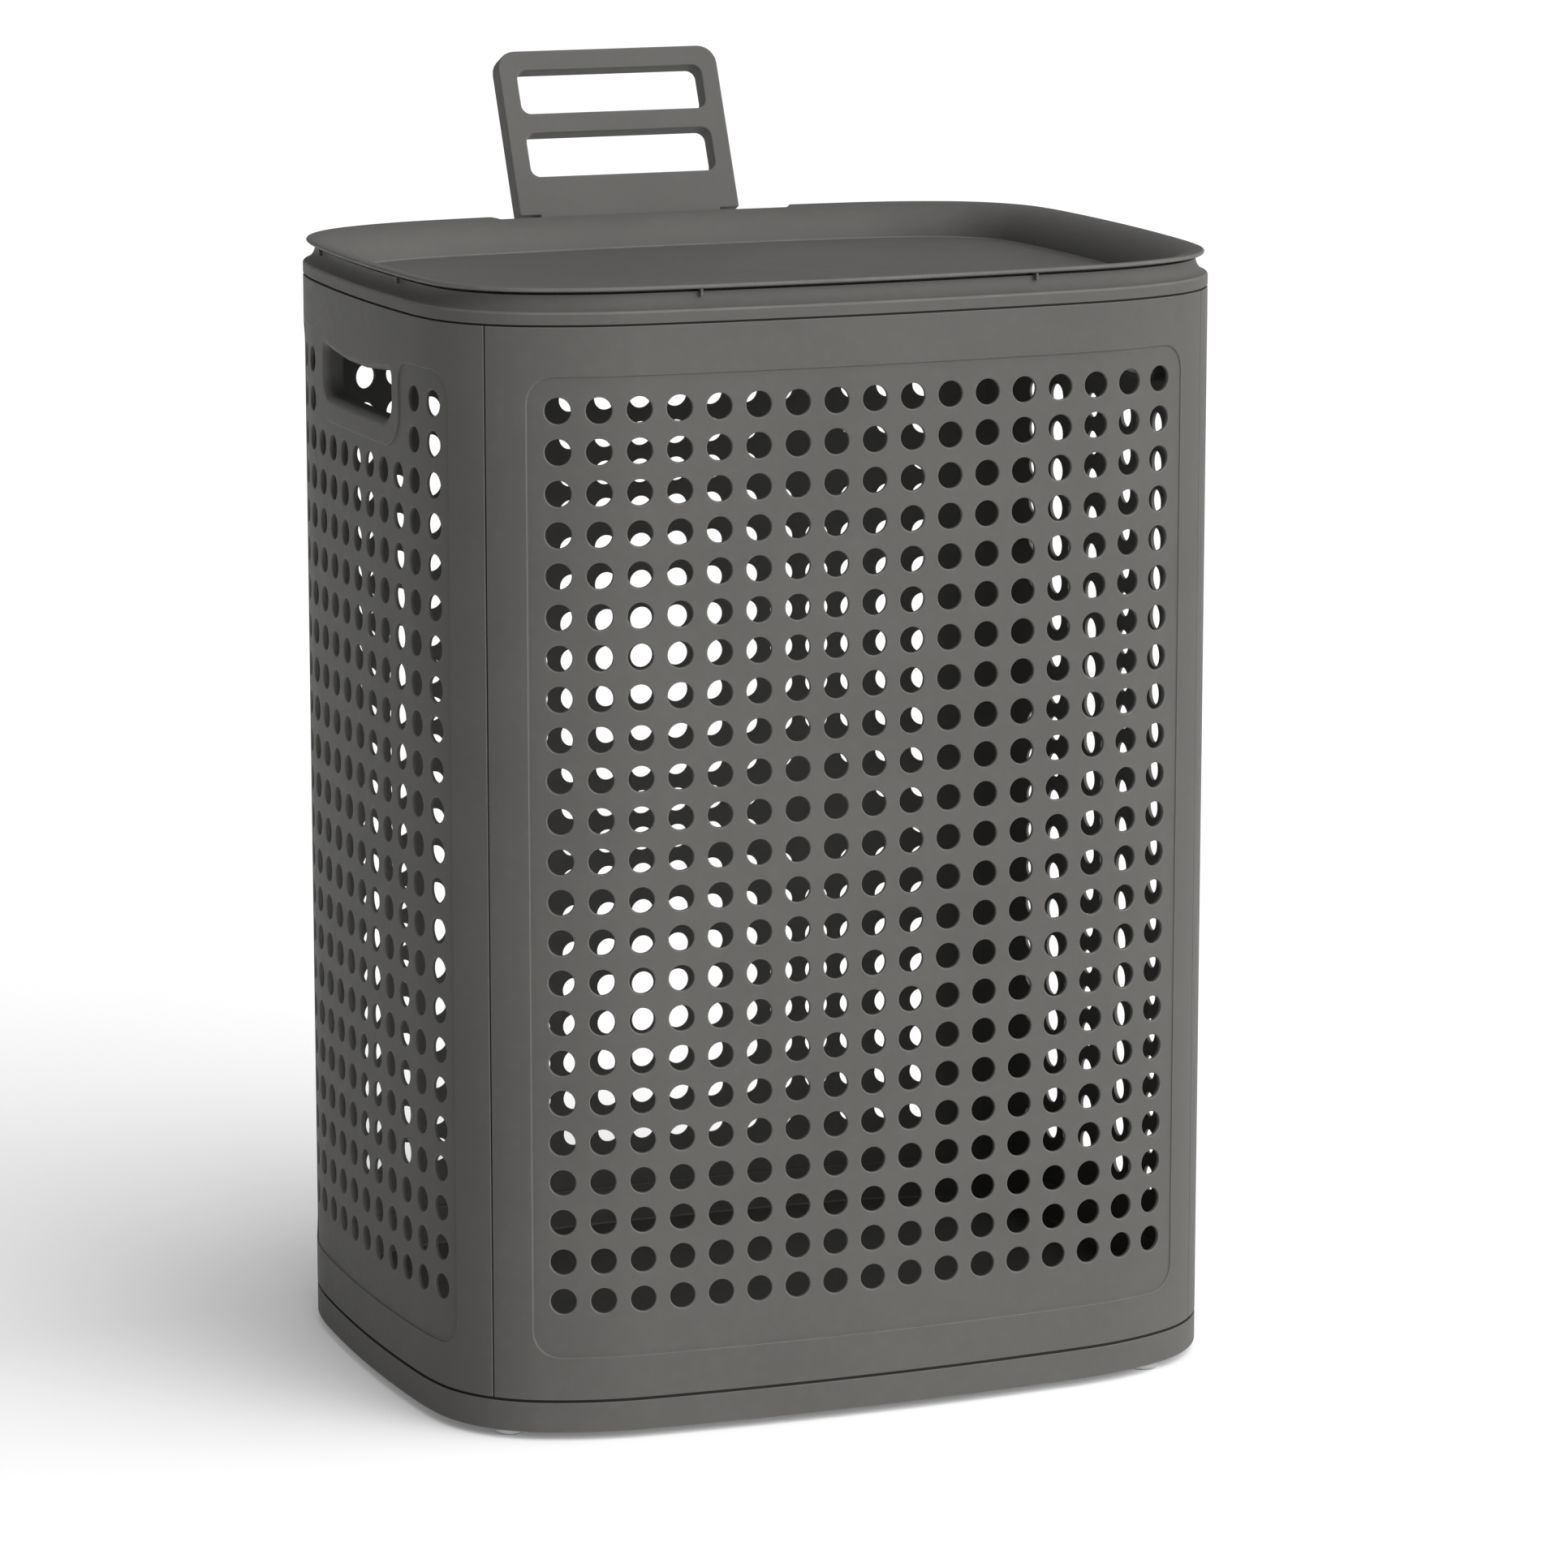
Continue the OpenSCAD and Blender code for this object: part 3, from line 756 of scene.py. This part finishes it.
def lid_shell():
    """The lid's tray, with the flange cut back over a stretch at the rear."""
    stops = loop_stops()
    ends = [side * NOTCH_HALF + d for side in (-1, 1)
            for d in np.linspace(-NOTCH_BLEND, NOTCH_BLEND, 9)]
    stops = np.sort(np.concatenate([
        [s for s in stops if all(abs(s - BACK - side * NOTCH_HALF) > NOTCH_BLEND + 1
                                 for side in (-1, 1))], BACK + np.array(ends)]))
    places, normals = [], []
    for s in stops:
        share = np.clip((NOTCH_HALF + NOTCH_BLEND - abs(s - BACK)) / (2 * NOTCH_BLEND), 0, 1)
        share = share * share * (3 - 2 * share)
        points, leans, marks = lid_profile(90 - (90 - NOTCH_TIP) * share)
        place, out = wall.at(np.full(len(points), s), -points[:, 0])
        places.append(np.column_stack([place, points[:, 1]]))
        normals.append(np.column_stack([leans[:, :1] * out, leans[:, 1]]))
    places, normals = np.array(places), np.array(normals)
    # where the flange is cut back the surface also leans along the outline
    along = np.roll(places, -1, axis=0) - np.roll(places, 1, axis=0)
    along /= np.linalg.norm(along, axis=-1, keepdims=True)
    normals -= (normals * along).sum(-1, keepdims=True) * along
    normals /= np.linalg.norm(normals, axis=-1, keepdims=True)
    return sweep(places, normals, marks, caps=True)


FIN_T = 1.3
FIN_R = 0.3
# lengths round the outline
fin_places = [-278, -88, 88, 278, RIGHT + 73, BACK - 110, BACK + 110, LEFT - 73]


def fin(s):
    """Fin under the flange: a tab outside the neck, a seat on the rim and a tongue inside it."""
    (place,), (out,) = wall.at(np.array([s], float), np.zeros(1))
    along = np.array([-out[1], out[0], 0])
    lay = on_plane(np.array([*place, 0]) + along * FIN_T / 2, (-out[0], -out[1], 0), (0, 0, 1))
    patch = Patch(lay)
    seat = rim_top + 0.05
    shape = outline_shape([
        (3.4, seat - 2.4, 0.4), (5.4, seat - 2.4, 0.4), (5.4, seat, 0.2), (9.0, seat, 0.2),
        (9.0, seat - 5, 0.4), (11.6, seat - 5, 0.4), (13.6, seat - 1.5, 0.4),
        (8.6, flange_top - 1.6, 0.4), (3.4, flange_top - 1.2, 0.4)])
    face, back = patch.run(shape, edge_profile(0, FIN_T, FIN_R, FIN_R, 2), facing=1)
    patch.cap(face.tolist())
    patch.cap(back[::-1].tolist())
    return patch.done()


make("tray_lid", [lid_shell(), *map(fin, fin_places)], plastic, "lid", ["lid"])


# ---------------------------------------------------------------- rail

pin_low, pin_high = box_mm("rail_pin")
pin_y, pin_z = (pin_low[1] + pin_high[1]) / 2, (pin_low[2] + pin_high[2]) / 2
_, rail_high = box_mm("rail_plate")
RAIL_LEAN = math.radians(24)
RAIL_T = 10.5
RAIL_LEN = 99.5
RAIL_SKIN = 2.4
RAIL_EDGE = 1.0
RAIL_CORNER = 10
RAIL_BAR = 11    # height of the bars over the slots
SHOULDER_UP = 3  # of the plate's lower corners over the barrel
SLOT = (104.0, 24.0, 5.0)  # width, height and corner radius
rail_half = rail_high[0]
barrel_half = 50.6
slot_tops = (RAIL_LEN - RAIL_BAR, RAIL_LEN - RAIL_BAR - SLOT[1] - RAIL_BAR)
pocket_wall = np.concatenate([bend(-0.5, RAIL_SKIN + 0.5, -0.5, 180, 90, 3),
                              bend(0.3, RAIL_T - 0.3, 0.3, 90, 180, 2)])


def grown(corners, by):
    """Corners of a rounded rectangle or plate outline moved outwards by by."""
    middle = np.mean([c[:2] for c in corners], axis=0)
    return [(x + math.copysign(by, x - middle[0]), y + math.copysign(by, y - middle[1]),
             max(r + by, 0.3)) for x, y, r in corners]


def box_corners(half, low, high, radius):
    return [(-half, low, radius), (half, low, radius), (half, high, radius), (-half, high, radius)]


def rail():
    """The slotted plate: a smooth front skin, ribs round its edge and slots, and a barrel."""
    up = (0, math.sin(RAIL_LEAN), math.cos(RAIL_LEAN))
    front = np.array([0, -math.cos(RAIL_LEAN), math.sin(RAIL_LEAN)])
    origin = np.array([0, pin_y, pin_z]) + front * RAIL_T / 2
    patch = Patch(on_plane(origin, (1, 0, 0), up))
    shoulder = RAIL_T / 2 + SHOULDER_UP
    outer = outline_shape([
        (-barrel_half, 0.5, 1.2), (barrel_half, 0.5, 1.2), (barrel_half, shoulder, 0.6),
        (rail_half, shoulder, 1.3), (rail_half, RAIL_LEN, RAIL_CORNER),
        (-rail_half, RAIL_LEN, RAIL_CORNER),
        (-rail_half, shoulder, 1.3), (-barrel_half, shoulder, 0.6)])
    slots = [box_corners(SLOT[0] / 2, top - SLOT[1], top, SLOT[2]) for top in slot_tops]
    through = edge_profile(0, RAIL_T, RAIL_EDGE, 0.4, 4)
    face, back = patch.run(outer, through, facing=1)
    slot_rims = [patch.run(outline_shape(slot), through) for slot in slots]
    patch.fill(face, [rim[0] for rim in slot_rims])
    # the pocket behind, down to the skin, with ribs left standing round the edge and the slots
    pocket = box_corners(rail_half - RAIL_SKIN, shoulder + RAIL_SKIN, RAIL_LEN - RAIL_SKIN,
                         RAIL_CORNER - RAIL_SKIN)
    pocket_rims = patch.run(outline_shape(pocket), pocket_wall)
    rib_rims = [patch.run(outline_shape(grown(slot, RAIL_SKIN)), pocket_wall, facing=1)
                for slot in slots]
    patch.fill(back, [pocket_rims[1]], out=False)
    for rib, slot in zip(rib_rims, slot_rims):
        patch.fill(rib[1], [slot[1]], out=False)
    patch.fill(pocket_rims[0], [rib[0] for rib in rib_rims], out=False)
    barrel = lathe(tube_profile(RAIL_T / 2, -barrel_half, barrel_half, 0.6),
                   (0, pin_y, pin_z), axis="x")
    return [patch.done(), barrel]


make("slotted_rail", rail(), plastic, "rail", ["rail_plate"])


# ---------------------------------------------------------------- feet

STEM_R = 4.0
for name in foot_nodes:
    low, high = box_mm(name)
    middle = foot_middle(name)
    radius = (high[0] - low[0]) / 2
    profile = trace(corner_arcs([
        (radius, low[2], 1.6), (radius, skirt_z[0], 0.3), (STEM_R, skirt_z[0], 0.3),
        (STEM_R, high[2], 0.3), (0, high[2], 0.3), (0, low[2], 0.3)])[:4],
        closed=False, arc_step=18)
    make(f"{name}_pad", [lathe(profile, (*middle[:2], 0))], rubber, "hamper",
         [name])


# ---------------------------------------------------------------- floor, light and camera

def floor():
    """A wide, plain, pale floor."""
    n = Nodes("pale_floor")
    n.set(Base_Color=n.mix(n.noise(3, 2), (0.80, 0.80, 0.80), (0.84, 0.84, 0.84)),
          Roughness=n.spread(n.noise(9), 0.8, 0.9))
    n.set(Specular_IOR_Level=0.2, Emission_Color=(1, 1, 1, 1), Emission_Strength=0.14)
    mesh = bpy.data.meshes.new("floor")
    half, cells = 30.0, 6
    line = np.linspace(-half, half, cells + 1)
    points = [(x, y, 0) for y in line for x in line]
    index = np.arange((cells + 1) ** 2).reshape(cells + 1, cells + 1)
    faces = np.stack([index[:-1, :-1], index[:-1, 1:], index[1:, 1:], index[1:, :-1]], -1)
    mesh.from_pydata(points, [], faces.reshape(-1, 4).tolist())
    mesh.materials.append(n.material)
    piece = bpy.data.objects.new("floor", mesh)
    bpy.context.scene.collection.objects.link(piece)


def sun(name, azimuth, elevation, strength, spread):
    """A soft directional light. Azimuth 0 shines on the front, and 90 on the right side."""
    light = bpy.data.lights.new(name, "SUN")
    light.energy = strength
    light.angle = math.radians(spread)
    piece = bpy.data.objects.new(name, light)
    a, e = math.radians(azimuth), math.radians(elevation)
    towards = Vector((math.sin(a) * math.cos(e), -math.cos(a) * math.cos(e), math.sin(e)))
    piece.rotation_euler = towards.to_track_quat("Z", "Y").to_euler()
    piece.location = towards * 3
    bpy.context.scene.collection.objects.link(piece)


def world(strength):
    """Even pale surroundings."""
    made = bpy.data.worlds.new("studio")
    made.use_nodes = True
    background = made.node_tree.nodes["Background"]
    background.inputs["Color"].default_value = (1, 1, 1, 1)
    background.inputs["Strength"].default_value = strength
    bpy.context.scene.world = made


floor()
world(strength=0.36)
sun("key", azimuth=40, elevation=42, strength=3.1, spread=80)
sun("low_fill", azimuth=30, elevation=12, strength=2.0, spread=50)

CAMERA_PLACE = (-1.1822, -2.9967, 0.9317)
CAMERA_TILT = 11.26
CAMERA_TURN = -21.82
CAMERA_LENS = 146.8
camera = bpy.data.objects.new("camera", bpy.data.cameras.new("camera"))
camera.data.lens = CAMERA_LENS
camera.data.sensor_width = 36
camera.data.clip_end = 200
camera.location = CAMERA_PLACE
camera.rotation_euler = (math.radians(90 - CAMERA_TILT), 0, math.radians(CAMERA_TURN))
bpy.context.scene.collection.objects.link(camera)
bpy.context.scene.camera = camera
bpy.context.scene.view_settings.view_transform = "Standard"
